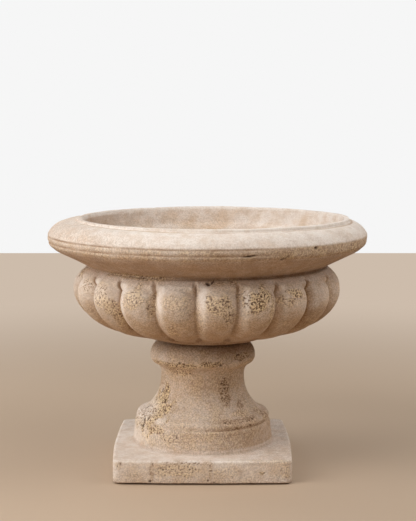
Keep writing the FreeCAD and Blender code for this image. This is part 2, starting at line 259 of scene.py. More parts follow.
def reach_of_lobe(bearing, slope, scale):
    """How far from the focus a ray leaves a lobe that lies bearing radians away."""
    focus, height = LOBE_FOCUS
    centre, centre_height = LOBE_CENTRE
    level = bearing * 0
    bearing = bearing * np.abs(bearing / (LOBE_PITCH / 2)) ** LOBE_FLATNESS
    start = np.stack(
        [focus * np.cos(bearing) - centre, focus * np.sin(bearing), level + height - centre_height]
    )
    way = np.stack(
        [np.cos(slope) * np.cos(bearing), np.cos(slope) * np.sin(bearing), np.sin(slope) + level]
    )
    sine, cosine = math.sin(LOBE_TILT), math.cos(LOBE_TILT)

    def scaled(vector):
        length = (vector[0] * cosine + vector[2] * sine) / LOBE_HALF[0]
        across = (vector[2] * cosine - vector[0] * sine) / (LOBE_HALF[1] * scale)
        return np.stack([length, across, vector[1] / (LOBE_HALF[2] * scale)])

    start, way = scaled(start), scaled(way)
    a, b, c = (way**2).sum(0), (start * way).sum(0), (start**2).sum(0) - 1
    inside = b * b - a * c
    return np.where(inside > 0, (-b + np.sqrt(np.maximum(inside, 0))) / a, -100)


def lobed_rows():
    """The belt of lobes: rays in each column, from the ring under it to the neck.

    Also how deep in a valley a point lies, 0 to 1, and where on its lobe, -1 to 1.
    """
    focus = np.array(LOBE_FOCUS)
    body = trace(BODY, 0.5)
    offset = body - focus
    slopes = np.arctan2(offset[:, 1], offset[:, 0])
    reach = np.hypot(*offset.T)
    fine_slopes = np.linspace(slopes[0], slopes[-1], 2000)
    fine_body = np.interp(fine_slopes, slopes, reach)
    crest = np.maximum(fine_body, reach_of_lobe(np.zeros(1), fine_slopes, 1.0))
    length = along(np.stack([crest * np.cos(fine_slopes), crest * np.sin(fine_slopes)], 1))
    rows = round(length[-1] / FINE)
    slope = np.interp(np.linspace(0, length[-1], rows + 1), length, fine_slopes)[:, None]
    body_reach = np.interp(slope, fine_slopes, fine_body)

    turned = (bowl_angle + math.pi / 2 - math.radians(LOBE_TURN)) / LOBE_PITCH
    nearest = np.round(turned)
    aside = (turned - nearest) * LOBE_PITCH
    vary = np.random.default_rng(3)
    scale = 1 + vary.uniform(-LOBES_VARY, LOBES_VARY, LOBES)
    own = reach_of_lobe(aside[None, :], slope, scale[nearest.astype(int) % LOBES])
    side = np.where(aside >= 0, 1, -1)
    beside = (nearest + side).astype(int) % LOBES
    other = reach_of_lobe((aside - side * LOBE_PITCH)[None, :], slope, scale[beside])
    lobes = smooth_max(own, other, 1.6)
    valley = np.clip(1 - (own - other) / VALLEY_REACH, 0, 1)
    body_level = focus[1] + body_reach * np.sin(slope)
    fallen = SPANDREL_DEPTH * step_up(0, 0.8, valley) * step_up(127, 115, body_level)
    surface = smooth_max(lobes, body_reach - fallen, 3.0)
    radius = focus[0] + surface * np.cos(slope)
    height = focus[1] + SEAT + surface * np.sin(slope)
    flank = np.repeat(aside[None, :] / (LOBE_PITCH / 2), len(radius), 0)
    return (radius, height), valley, flank


def roll_rows():
    """The roll of the rim, up to the lip's outer edge, which lies off its axis."""
    line = trace(raised(ROLL), 0.5)
    length = along(line)
    edge = off_axis(LIP_RADIUS)
    last = np.interp(-edge, -line[:, 0], length)
    share = np.linspace(0, 1, round(length[-1] / FINE) + 1)[:, None]
    place = share * last
    return np.interp(place, length, line[:, 0]), np.interp(place, length, line[:, 1])


def lip_rows(start_height):
    """The lip: its outer edge, its worn round and its flat top."""
    round_foot = np.maximum(start_height, TOP - LIP_ROUND)
    upright = np.linspace(0, 1, 4)[:, None]
    turn = np.linspace(0, math.pi / 2, 5)[1:]
    radius = [np.repeat(off_axis(LIP_RADIUS)[None], 4, 0)]
    height = [start_height + (round_foot - start_height) * upright]
    for angle in turn:
        radius.append(off_axis(LIP_RADIUS - LIP_ROUND + LIP_ROUND * math.cos(angle))[None])
        height.append((round_foot + (TOP - round_foot) * math.sin(angle))[None])
    for place in np.linspace(LIP_RADIUS - LIP_ROUND, OPENING, 8)[1:]:
        radius.append(off_axis(place)[None])
        height.append(np.full((1, BOWL_COLUMNS), TOP))
    return np.concatenate(radius), np.concatenate(height)


def hollow_rows():
    """The planting hollow, about its own axis, down to the drain on the rim's axis."""
    wall = every(trace(raised(HOLLOW), 1.0), COARSE / 1.5)
    floor = trace(raised(FLOOR), COARSE)
    line = np.concatenate([wall, floor[1:]])
    share = step_up(DRAIN, HOLLOW[-1][0], line[:, 0])
    radius = np.stack([off_axis(r, part) for r, part in zip(line[:, 0], share)])
    return radius, np.repeat(line[:, 1:], BOWL_COLUMNS, 1)


def bowl_grid():
    """The bowl's points, and each point's valley, flank and whether it is inside."""
    lobed, valley, flank = lobed_rows()
    spigot = columns_of(trace(raised(SPIGOT), COARSE), BOWL_COLUMNS)
    neck = columns_of(every(trace(raised(NECK), 0.4), 0.9), BOWL_COLUMNS)
    soffit = columns_of(every(trace(raised(SOFFIT), 0.4), FINE), BOWL_COLUMNS)
    roll = roll_rows()
    lip = lip_rows(roll[1][-1])
    sections = [spigot, lobed, neck, soffit, roll, lip, hollow_rows()]
    radius, height = joined(sections)
    deep, place, inner = (np.zeros_like(radius) for _ in range(3))
    belt = slice(len(spigot[0]) - 1, len(spigot[0]) - 1 + len(valley))
    deep[belt] = valley
    place[belt] = flank
    inner[sum(len(part[0]) - 1 for part in sections[:-1]) :] = 1
    points = np.stack([radius * np.cos(bowl_angle), radius * np.sin(bowl_angle), height], 2)
    return points, deep, place, inner


# ---------------------------------------------------------------- wear

# Patches where the surface is eaten away: bearing in degrees (on the plinth's face,
# millimetres from its middle), height, half width, half height, strength, and how
# brown the patch is, from 0 to 1.
BOWL_PATCHES = [
    (-64, 333, 13, 12, 0.8, 0.0),
    (-51, 322, 30, 20, 0.75, 0.0),
    (-43.5, 296, 15, 32, 0.75, 0.2),
    (-32, 324, 32, 20, 0.7, 0.0),
    (-24, 315, 12, 20, 0.7, 0.3),
    (-13, 320, 28, 14, 0.5, 0.0),
    (-15, 271, 14, 10, 0.55, 0.2),
    (5, 320, 26, 18, 0.85, 0.1),
    (9, 302, 14, 18, 0.75, 0.3),
    (-3, 285, 6, 20, 0.5, 0.1),
    (20, 325, 32, 20, 1.05, 0.05),
    (28, 308, 9, 26, 0.85, 0.3),
    (38.5, 331, 15, 10, 1.0, 0.1),
    (34, 319, 22, 9, 0.75, 0.2),
    (-81, 345, 14, 10, 0.9, 0.3),
    (-34, 357, 75, 5, 0.75, 0.3),
    (8, 352, 26, 5, 0.6, 0.6),
]
PEDESTAL_PATCHES = [
    (-64, 101, 44, 32, 1.2, 0.0),
    (-56, 130, 20, 26, 1.1, 0.0),
    (-42, 78, 22, 6, 0.9, 0.3),
    (-28, 67, 20, 11, 0.65, 0.0),
    (-33, 176, 30, 9, 0.75, 0.15),
    (-22, 150, 10, 18, 0.35, 0.0),
    (-30, 190, 55, 5, 0.9, 0.2),
    (12, 194, 30, 5, 0.9, 0.2),
    (45, 202, 28, 7, 0.9, 0.6),
    (30, 142, 14, 26, 0.9, 0.75),
    (48, 118, 9, 7, 0.8, 0.9),
    (44, 103, 22, 6, 0.6, 0.0),
    (40, 95.5, 56, 2.6, 0.9, 0.9),
    (18, 97, 22, 4, 0.6, 0.0),
    (40, 84.5, 52, 3, 0.85, 0.9),
    (42, 72, 20, 10, 0.6, 0.7),
    (5, 74, 30, 8, 0.5, 0.0),
    (72, 96, 14, 12, 0.8, 0.5),
]
FACE_PATCHES = [
    (-42, 26, 52, 15, 0.7, 0.0),
    (40, 22, 34, 10, 0.5, 0.05),
    (-85, 24, 4, 18, 0.8, 0.8),
    (14, 24, 3.5, 18, 0.7, 0.8),
    (-30, 38, 62, 3, 0.8, 0.5),
    (100, 20, 6, 4, 0.8, 0.2),
    (139, 22, 9, 14, 0.6, 0.2),
    (-141, 34, 6, 8, 0.6, 0.3),
]
# Separate marks: bearing (or millimetres), height, half length, half width, lean in
# degrees, depth.
BOWL_MARKS = [
    (13.9, 400.9, 10, 1.2, 8, 2.8),
    (38.5, 409.1, 3.2, 2.4, 0, 3.0),
    (25.6, 392.9, 3.4, 1.8, 20, 2.8),
    (27.0, 396.8, 4.0, 1.1, 50, 1.8),
    (0.3, 350.6, 4.4, 2.6, -20, 3.0),
    (2.3, 353.2, 5.0, 1.5, 40, 2.4),
    (-83.8, 352.3, 4.0, 3.2, 30, 4.0),
    (-86.5, 345.4, 3.2, 2.6, 30, 3.4),
    (-82.6, 340.7, 2.8, 2.2, 0, 3.0),
    (-78.2, 336.8, 2.2, 2.0, 0, 2.4),
]
PEDESTAL_MARKS = [
    (-60, 89, 2.8, 6.0, 10, 4.0),
    (-55, 93, 2.0, 4.0, 10, 3.0),
    (-81, 103, 5.0, 3.2, 35, 4.0),
    (-66, 137, 3.0, 3.6, 0, 3.0),
    (-52, 122, 2.8, 3.4, 0, 3.0),
    (-61, 79, 3.0, 4.0, 0, 3.0),
    (-25, 195, 3.0, 1.6, 0, 2.0),
    (20, 191, 3.4, 1.6, 0, 2.2),
]
FACE_MARKS = [
    (-88, 6.5, 2.6, 2.2, 0, 2.5),
    (9.5, 8, 2.0, 2.0, 0, 2.0),
    (19.6, 4.7, 2.0, 1.8, 0, 2.0),
    (98, 20.5, 4.5, 1.2, -40, 1.0),
    (104, 20.5, 4.5, 1.2, 40, 1.0),
]
BOWL_SCALE = math.radians(230)  # distance along the surface for a degree of bearing
PEDESTAL_SCALE = math.radians(95)


CRUMB_SIZE = 2.6
CRUMB_RELIEF = 0.55
PIT_DEPTH = 1.0
DARK_DEPTH = 2.5  # a mark this deep is as dark as a pit


def patches_on(across, height, ragged, scale, patches):
    """How eaten and how brown the surface is, from patches with ragged edges."""
    eaten, brown = np.zeros_like(height), np.zeros_like(height)
    for middle, level, half_width, half_height, strength, soil in patches:
        away = np.hypot((across - middle) * scale / half_width, (height - level) / half_height)
        part = strength * step_up(1.3, 0.6, away + ragged)
        eaten = np.maximum(eaten, part)
        brown = np.maximum(brown, part * soil)
    return eaten, brown


def marks_on(across, height, scale, marks):
    """Depth of the separate marks."""
    depth = np.zeros_like(height)
    for middle, level, half_length, half_width, lean, deepest in marks:
        x, up = (across - middle) * scale, height - level
        sine, cosine = math.sin(math.radians(lean)), math.cos(math.radians(lean))
        away = np.hypot((x * cosine + up * sine) / half_length, (up * cosine - x * sine) / half_width)
        depth = np.maximum(depth, deepest * step_up(1.25, 0.45, away))
    return depth


def pits_of(points, eaten, seed):
    """Pits, 0 to 1, and crumbs, about -1 to 1: fine and dense where the skin is eaten."""
    pits, crumbs = np.zeros_like(eaten), np.zeros_like(eaten)
    worn = eaten > 0.02
    place, share = points[worn], eaten[worn]
    bend = np.stack([noise(place, 4.5, seed + n) for n in range(3)], -1)
    fine = noise(place + bend * 0.7, CRUMB_SIZE, seed + 3) + 0.3 * noise(place, 1.6, seed + 4)
    level = 0.85 - 0.75 * share
    pits[worn] = step_up(level, level + 0.45, fine) * step_up(0.3, 0.7, share)
    crumbs[worn] = -fine
    return pits, crumbs


def weather(points, eaten, dents, wobble, seed):
    """Move the grid by wobble, grain, crumbs, pits and marks; return it, pits and crumbs."""
    pits, crumbs = pits_of(points, eaten, seed)
    grain = 0.14 * noise(points, 6, seed + 10) + 0.09 * noise(points, 2.6, seed + 11)
    move = wobble + grain + CRUMB_RELIEF * crumbs * eaten - PIT_DEPTH * pits - dents
    normal = normals_of(soften(points, 2))
    dark = np.maximum(pits, np.clip(dents / DARK_DEPTH, 0, 1))
    return points + normal * move[..., None], dark, 0.5 + 0.6 * crumbs


# ---------------------------------------------------------------- meshes


def skin_of(name, points, masks):
    """A closed mesh, in metres, from a grid that closes on itself both ways."""
    rows, columns = points.shape[:2]
    number = np.arange(rows * columns).reshape(rows, columns)
    right = np.roll(number, -1, 1)
    faces = np.stack([number, right, np.roll(right, -1, 0), np.roll(number, -1, 0)], 2)
    mesh = bpy.data.meshes.new(name)
    mesh.vertices.add(number.size)
    mesh.vertices.foreach_set("co", (points * MM).ravel())
    mesh.loops.add(faces.size)
    mesh.loops.foreach_set("vertex_index", faces.ravel())
    mesh.polygons.add(number.size)
    mesh.polygons.foreach_set("loop_start", np.arange(number.size) * 4)
    mesh.polygons.foreach_set("use_smooth", np.ones(number.size, bool))
    for mask_name, values in masks.items():
        mask = mesh.attributes.new(mask_name, "FLOAT", "POINT")
        mask.data.foreach_set("value", np.clip(values, 0, 1).astype(np.float32).ravel())
    unrolled(mesh, points)
    mesh.update(calc_edges=True)
    piece = bpy.data.objects.new(name, mesh)
    bpy.context.scene.collection.objects.link(piece)
    return piece


def unrolled(mesh, points):
    """A map of the grid as one rectangle: columns across, distance along the rows up."""
    rows, columns = points.shape[:2]
    steps = np.linalg.norm(np.roll(points, -1, 0) - points, axis=2).mean(1)
    up = np.concatenate([[0], np.cumsum(steps)]) / steps.sum()
    left = np.arange(columns) / columns
    low, high = up[:-1, None] + left * 0, up[1:, None] + left * 0
    left = np.repeat(left[None], rows, 0)
    right = left + 1 / columns
    corners = np.stack([left, low, right, low, right, high, left, high], 2)
    layer = mesh.uv_layers.new(name="OFBake")
    layer.data.foreach_set("uv", (0.002 + 0.996 * corners).astype(np.float32).ravel())


def dress(piece, node, material):
    piece.data.materials.append(material)
    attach(piece, "root")
    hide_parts(node)


# Whitewash, dirt and ochre by height over the bowl's seat.
BOWL_CHALK = [
    (-20, 0.1), (8, 0.0), (30, 0.0), (60, 0.25), (85, 0.55), (105, 0.65), (118, 0.5), (128, 0.3),
    (132, 0.0), (160, 0.05), (165, 0.35), (173, 0.5), (184, 0.7), (190, 0.8), (205, 0.9), (208, 1.0),
]
BOWL_DIRT = [
    (-20, 0.6), (6, 0.8), (16, 0.7), (30, 0.35), (55, 0.1), (90, 0.0), (118, 0.05),
    (124, 0.0), (129, 0.15), (132, 0.5), (150, 0.5), (161, 0.45), (168, 0.15), (184, 0.04), (188, 0.0),
]
BOWL_OCHRE = [
    (0, 0.2), (20, 0.5), (45, 0.45), (75, 0.12), (110, 0.0), (128, 0.2), (140, 0.2), (165, 0.1), (180, 0.0),
]
HOLLOW_CHALK = [(38, 0.1), (110, 0.3), (165, 0.6), (206, 0.75), (210, 1.0)]
HOLLOW_DIRT = [(38, 0.8), (90, 0.6), (150, 0.15), (185, 0.0), (212, 0.0)]
HOLLOW_OCHRE = [(38, 0.2), (150, 0.3), (204, 0.3), (208, 0.0)]


RIGHT_SIDE = (0, 60, 110, 150)
LEFT_SIDE = (-170, -130, -60, -10)
RIM_BANDS = (163, 166, 182, 186)
LIP_FOOT = (LIP_RADIUS + 3.6, 3.4)  # radius and half width of the line where the roll meets the lip


def bowl_lines(points, level, inner, outside):
    """Depths of the rim's grooves, the line at the neck and the line at the lip's foot."""
    bearing = bearing_of(points)
    radius = np.hypot(points[..., 0], points[..., 1])
    from_opening = np.hypot(points[..., 0] - OPENING_AXIS[0], points[..., 1] - OPENING_AXIS[1])
    kept = step_up(32, 10, bearing) * step_up(-178, -150, bearing) + step_up(125, 150, bearing)
    broken = 0.85 + 0.4 * noise(points, 24, 31)
    groove = np.zeros_like(level)
    for middle in GROOVE_HEIGHTS:
        share = np.maximum(1 - np.abs(level - middle) / GROOVE_HALF_WIDTH, 0)
        groove = np.maximum(groove, share * GROOVE_DEPTH)
    groove *= step_up(262, 268, radius) * np.clip((0.12 + 0.88 * kept) * broken, 0, 1.1)
    neck_line = bump(NECK_LINE, 2.8, level) * outside
    neck_line *= 0.2 + 0.8 * between(-30, 0, 150, 180, bearing)
    lip_foot = bump(*LIP_FOOT, from_opening) * (1 - inner) * step_up(202, 205, level)
    lip_foot *= between(-80, -25, 150, 180, bearing)
    return groove, neck_line, lip_foot


def bowl_wear(points, bearing, level, outside, bands, on_lobes):
    """How eaten and how brown the bowl is, in patches and all over."""
    ragged = layered(points, 22, 21, 3) * 0.5
    eaten, brown = patches_on(bearing, level + SEAT, ragged, BOWL_SCALE, BOWL_PATCHES)
    behind = step_up(62, 95, np.abs(bearing)) * between(15, 25, 122, 142, level)
    eaten = np.maximum(eaten, behind * step_up(0.1, 0.5, noise(points, 55, 41)) * 0.85)
    right = between(*RIGHT_SIDE, bearing)
    eaten = np.maximum(eaten, bands * (0.32 + 0.2 * right + 0.3 * noise(points, 30, 43)))
    eaten = np.maximum(eaten, on_lobes * (0.16 + 0.3 * noise(points, 48, 44)))
    return np.clip(eaten * outside, 0, 1), brown


def make_bowl(material):
    points, valley, flank, inner = bowl_grid()
    bearing = bearing_of(points)
    level = points[..., 2] - SEAT
    outside = (1 - inner) * step_up(8, 20, level)
    on_lobes = between(20, 40, 114, 122, level)
    right, left = between(*RIGHT_SIDE, bearing), between(*LEFT_SIDE, bearing)

    groove, neck_line, lip_foot = bowl_lines(points, level, inner, outside)
    cut = groove + 1.4 * neck_line + 0.9 * lip_foot
    points = soften(points - normals_of(points) * cut[..., None], 2)
    bands = between(*RIM_BANDS, level) * (1 - groove / GROOVE_DEPTH) * outside
    eaten, brown = bowl_wear(points, bearing, level, outside, bands, on_lobes)
    dents = marks_on(bearing, level + SEAT, BOWL_SCALE, BOWL_MARKS) * outside
    wobble = 0.9 * noise(points, 95, 60) + 0.5 * noise(points, 38, 61)
    worn, pits, crumbs = weather(points, eaten, dents, wobble, 50)

    # inside: blotches under the lip, with the hollow's wall painted darker at the left and paler at the right
    # as painted shade and light
    on_lobes = on_lobes * (1 - inner)
    wall = inner * step_up(208, 204, level)
    side = worn[..., 0] / OPENING * wall
    whitewash_light_and_shade = np.where(inner > 0.5, profile(level, HOLLOW_CHALK), profile(level, BOWL_CHALK))
    # painted light: a highlight down the left flank of each lobe and the lobes lighter at the left; painted
    # shade: the lobes darker at the right
    whitewash_light_and_shade += on_lobes * (0.45 * bump(-0.62, 0.3, flank) + 0.25 * left - 0.35 * right)
    # painted light on the right of the hollow's wall; painted shade on the left of the roll
    whitewash_light_and_shade += 0.25 * step_up(0, 0.7, side) - 0.3 * left * step_up(184, 190, level) * (1 - inner)
    ochre = np.where(inner > 0.5, profile(level, HOLLOW_OCHRE), profile(level, BOWL_OCHRE))
    # an ochre line at the lip's foot: painted shade under the lip's step
    ochre += 0.6 * lip_foot + 0.12 * bands
    # ochre blotches on the hollow's wall, with less ochre at the right as painted light
    ochre += 0.4 * wall * noise(worn, 42, 90) - 0.25 * step_up(0.1, 0.8, side)

    # dirt and painted shade: the valleys are mostly painted shade, darker in the notches under the shoulder
    # and towards the sides; painted shade on the flanks beside the side lobes' edges and on the lower lobes
    # at the right; the lines are dark with dirt and painted shade; dirt on the bands
    aside = np.abs(bearing)
    valley_dirt_and_shade = 0.42 + 0.3 * step_up(90, 108, level)
    valley_dirt_and_shade += (0.4 + 0.6 * step_up(0.65, 1, valley)) * step_up(25, 50, aside)
    # painted shade on each side lobe's flank next to the edge of the lobe in front of it
    painted_flank_shade = step_up(20, 55, aside) * step_up(0.2, -0.9, flank * np.sign(bearing))
    dirt_and_shade = np.where(inner > 0.5, profile(level, HOLLOW_DIRT), profile(level, BOWL_DIRT))
    # valleys mostly painted shade, flanks painted shade, and painted shade on the lower lobes at the right
    dirt_and_shade += (valley * valley_dirt_and_shade + 0.42 * painted_flank_shade + 0.22 * right * step_up(80, 55, level)) * on_lobes
    dirt_and_shade += 0.45 * lip_foot * (1 - inner) + 0.7 * neck_line + 0.8 * groove / GROOVE_DEPTH
    dirt_and_shade += bands * 0.42 * between(-50, 50, 120, 170, bearing)
    # blotches on the hollow's wall, and painted shade on its left
    dirt_and_shade += 0.14 * wall * noise(worn, 26, 91) + 0.45 * step_up(-0.4, -0.9, side)
    masks = dict(
        eaten=eaten, pits=pits, crumbs=crumbs, whitewash_light_and_shade=whitewash_light_and_shade, dirt_and_shade=dirt_and_shade, ochre=ochre, brown=brown
    )
    dress(skin_of("urn_bowl", worn, masks), "bowl", material)


# ---------------------------------------------------------------- pedestal

PEDESTAL_COLUMNS = 840
PLINTH_CORNER = 10
PLINTH_EDGE = 4
UNDER_EDGE = 1.5
PLINTH_BOW = 5.0  # how far the middle of a side stands out
DRUM_FOOT = 128
PLINTH_TOP = 39.5
FOOT_MOUTH = 92
TURNED = [
    (DRUM_FOOT, PLINTH_TOP, 4, LEFT), (124, 43.5), (120, 74.5, 3, RIGHT), (117, 77.5),
    (115.5, 78.2), (115.5, 79.8, 8.5, RIGHT), (112, 93.5), (106, 94.2, 75, LEFT),
    (73.5, 155.5), (73.5, 163, 24, LEFT), (83, 180, 13, RIGHT), (93, 194, 26.5, RIGHT), (68, 221),
]
CORE = [(68, 221), (46, 221), (46, 197), (27, 197), (32, 105, 80, LEFT), (88, 45), (FOOT_MOUTH, 0)]
PEDESTAL_CHALK = [
    (0, 0.55), (36, 0.75), (41, 1.0), (46, 0.5), (78, 0.45), (95, 0.6), (115, 0.5),
    (150, 0.3), (185, 0.4), (200, 0.5), (223, 0.3),
]
# dirt by height; the rise at the top is painted shade on the collar under the bowl
PEDESTAL_DIRT_AND_SHADE = [
    (0, 0.1), (36, 0.0), (46, 0.1), (78, 0.08), (110, 0.05), (160, 0.15), (195, 0.08),
    (210, 0.3), (223, 0.6),
]
QUIRK_HEIGHT = 78.8  # over the plinth's foot, like the next
LEDGE_HEIGHT = 95

pedestal_share = np.arange(PEDESTAL_COLUMNS) / PEDESTAL_COLUMNS


def round_square(half, corner):
    """Evenly spaced points round a square with rounded corners, from +X, anticlockwise."""
    flat = half - corner
    line = [[half, 0]]
    for quarter, (x, y) in enumerate([(flat, flat), (-flat, flat), (-flat, -flat), (flat, -flat)]):
        angles = (quarter + np.linspace(0, 1, 33)) * math.pi / 2
        line += [[x + corner * math.cos(a), y + corner * math.sin(a)] for a in angles]
    line = np.array(line + [[half, 0]], float)
    length = along(line)
    place = pedestal_share * length[-1]
    return np.stack([np.interp(place, length, line[:, i]) for i in (0, 1)], 1)


def bowed(points):
    """Bow the plinth's four sides outwards."""
    x, y = points[..., 0] / PLINTH_HALF, points[..., 1] / PLINTH_HALF
    points[..., 0] += PLINTH_BOW * (1 - y**2) * np.sign(x) * np.abs(x) ** 8
    points[..., 1] += PLINTH_BOW * (1 - x**2) * np.sign(y) * np.abs(y) ** 8
    return points


def ring(radius):
    angle = pedestal_share * 2 * math.pi
    return radius * np.stack([np.cos(angle), np.sin(angle)], 1)


def plinth_rows():
    """From the mouth of the hollow foot, out under the plinth, up its side and in again."""
    mouth, drum = ring(FOOT_MOUTH), ring(DRUM_FOOT)
    rows = []
    square = round_square(PLINTH_HALF - UNDER_EDGE, PLINTH_CORNER)
    for share in np.linspace(0, 1, 12)[:-1]:
        rows.append(np.column_stack([mouth + (square - mouth) * share, np.zeros(PEDESTAL_COLUMNS)]))
    side = trace(
        [
            (-UNDER_EDGE, 0, UNDER_EDGE, RIGHT), (0, UNDER_EDGE),
            (0, PLINTH_TOP - PLINTH_EDGE, PLINTH_EDGE, RIGHT), (-PLINTH_EDGE, PLINTH_TOP),
        ],
        FINE,
    )
    for out, height in side:
        square = round_square(PLINTH_HALF + out, PLINTH_CORNER + out)
        rows.append(np.column_stack([square, np.full(PEDESTAL_COLUMNS, height)]))
    for share in np.linspace(0, 1, 28)[1:]:
        row = square + (drum - square) * share
        rows.append(np.column_stack([row, np.full(PEDESTAL_COLUMNS, PLINTH_TOP)]))
    return bowed(np.array(rows))


def turned_rows(outline, step):
    line = every(trace(outline, 0.5), step)
    return np.stack([np.column_stack([ring(r), np.full(PEDESTAL_COLUMNS, h)]) for r, h in line])


def pedestal_grid():
    parts = [plinth_rows()[:-1], turned_rows(TURNED, 1.1)[:-1], turned_rows(CORE, COARSE)[:-1]]
    points = np.concatenate(parts)
    points[..., :2] += PEDESTAL_AXIS
    points[..., 2] += PLINTH_FOOT
    core = np.zeros(points.shape[:2])
    core[len(parts[0]) + len(parts[1]) :] = 1
    core[:6] = 1  # the part of the plinth's underside next to the hollow foot
    return soften(points, 2), core


def pedestal_wear(points, bearing, across, turned, front):
    """How eaten and how brown the pedestal is, in patches and all over."""
    height = points[..., 2]
    ragged = layered(points, 16, 22, 3) * 0.5
    eaten, brown = patches_on(bearing, height, ragged, PEDESTAL_SCALE, PEDESTAL_PATCHES)
    face_eaten, face_brown = patches_on(across, height, ragged * 0.6, 1, FACE_PATCHES)
    eaten = eaten * turned + face_eaten * front
    brown = brown * turned + face_brown * front
    behind = step_up(85, 115, np.abs(bearing)) * turned
    eaten = np.maximum(eaten, behind * step_up(0.1, 0.5, noise(points, 40, 42)) * 0.8)
    plinth_top = PLINTH_FOOT + PLINTH_TOP
    side_face = step_up(plinth_top, plinth_top - 5, height) * (1 - front)
    eaten = np.maximum(eaten, side_face * (0.3 + 0.5 * noise(points, 34, 43)))
    eaten = np.maximum(eaten, turned * (0.28 + 0.3 * noise(points, 42, 44)))
    eaten = np.maximum(eaten, front * (0.25 + 0.25 * noise(points, 30, 45)))
    return eaten, brown


def pedestal_colours(worn, bearing, height, across, turned):
    """How whitewashed, dirty and ochre the pedestal is outside its core, with painted light on its left and
    painted shade on its right.
    """
    right = between(-20, 60, 120, 160, bearing) * turned
    left = between(-150, -110, -70, -30, bearing) * turned
    # painted shade on the right of the turned part, darker low down, and painted light on its left
    whitewash_light_and_shade = profile(height, PEDESTAL_CHALK) - (0.15 + 0.35 * step_up(105, 85, height)) * right
    whitewash_light_and_shade += left * (0.15 + 0.2 * step_up(140, 110, height))
    # a painted shadow of the pedestal on the right of the plinth's top
    whitewash_light_and_shade -= 0.3 * step_up(0, 110, across) * between(30, 41, 44, 50, height)
    # dirt by height, with more painted shade on the right, darker low down
    dirt_and_shade = profile(height, PEDESTAL_DIRT_AND_SHADE) + (0.1 + 0.15 * step_up(100, 80, height)) * right
    from_axis = np.hypot(across, worn[..., 1] - PEDESTAL_AXIS[1])
    # painted shade in the corner where the drum meets the plinth
    drum_foot_shade = bump(PLINTH_FOOT + PLINTH_TOP + 2, 4, height) * bump(DRUM_FOOT - 2, 5, from_axis)
    dirt_and_shade += 0.35 * drum_foot_shade
    ochre = 0.25 * bump(165, 40, height) * turned + 0.3 * bump(190, 10, height) * turned + 0.1
    return whitewash_light_and_shade, dirt_and_shade, ochre


def make_pedestal(material):
    points, core = pedestal_grid()
    bearing = bearing_of(points, PEDESTAL_AXIS)
    height = points[..., 2]
    across = points[..., 0] - PEDESTAL_AXIS[0]
    front = step_up(-PLINTH_HALF + 8, -PLINTH_HALF + 4, points[..., 1] - PEDESTAL_AXIS[1])
    turned = step_up(48, 52, height) * (1 - core)

    eaten, brown = pedestal_wear(points, bearing, across, turned, front)
    eaten = np.clip(eaten * (1 - core), 0, 1)
    dents = marks_on(bearing, height, PEDESTAL_SCALE, PEDESTAL_MARKS) * turned
    dents += marks_on(across, height, 1, FACE_MARKS) * front
    # wear hides the quirk and the bead's ledge at the left
    quirk = bump(PLINTH_FOOT + QUIRK_HEIGHT, 5, height)
    ledge = bump(PLINTH_FOOT + LEDGE_HEIGHT, 4, height)
    filled = turned * between(-180, -150, 0, 30, bearing) * (2.4 * quirk + 2.2 * ledge)
    wobble = 0.6 * noise(points, 80, 80) + 0.35 * noise(points, 30, 81) + filled
    worn, pits, crumbs = weather(points, eaten, dents, wobble, 70)

    whitewash_light_and_shade, dirt_and_shade, ochre = pedestal_colours(worn, bearing, height, across, turned)
    whitewash_light_and_shade, dirt_and_shade = whitewash_light_and_shade * (1 - core), dirt_and_shade + 0.2 * brown + 0.5 * core
    masks = dict(
        eaten=eaten, pits=pits, crumbs=crumbs, whitewash_light_and_shade=whitewash_light_and_shade, dirt_and_shade=dirt_and_shade, ochre=ochre, brown=brown
    )
    dress(skin_of("urn_pedestal", worn, masks), "pedestal", material)


# ---------------------------------------------------------------- materials


def colour(red, green, blue):
    """A display colour, 0 to 255, as Blender's linear colour."""
    parts = [part / 255 for part in (red, green, blue)]
    return tuple(((p + 0.055) / 1.055) ** 2.4 if p > 0.04045 else p / 12.92 for p in parts) + (1.0,)


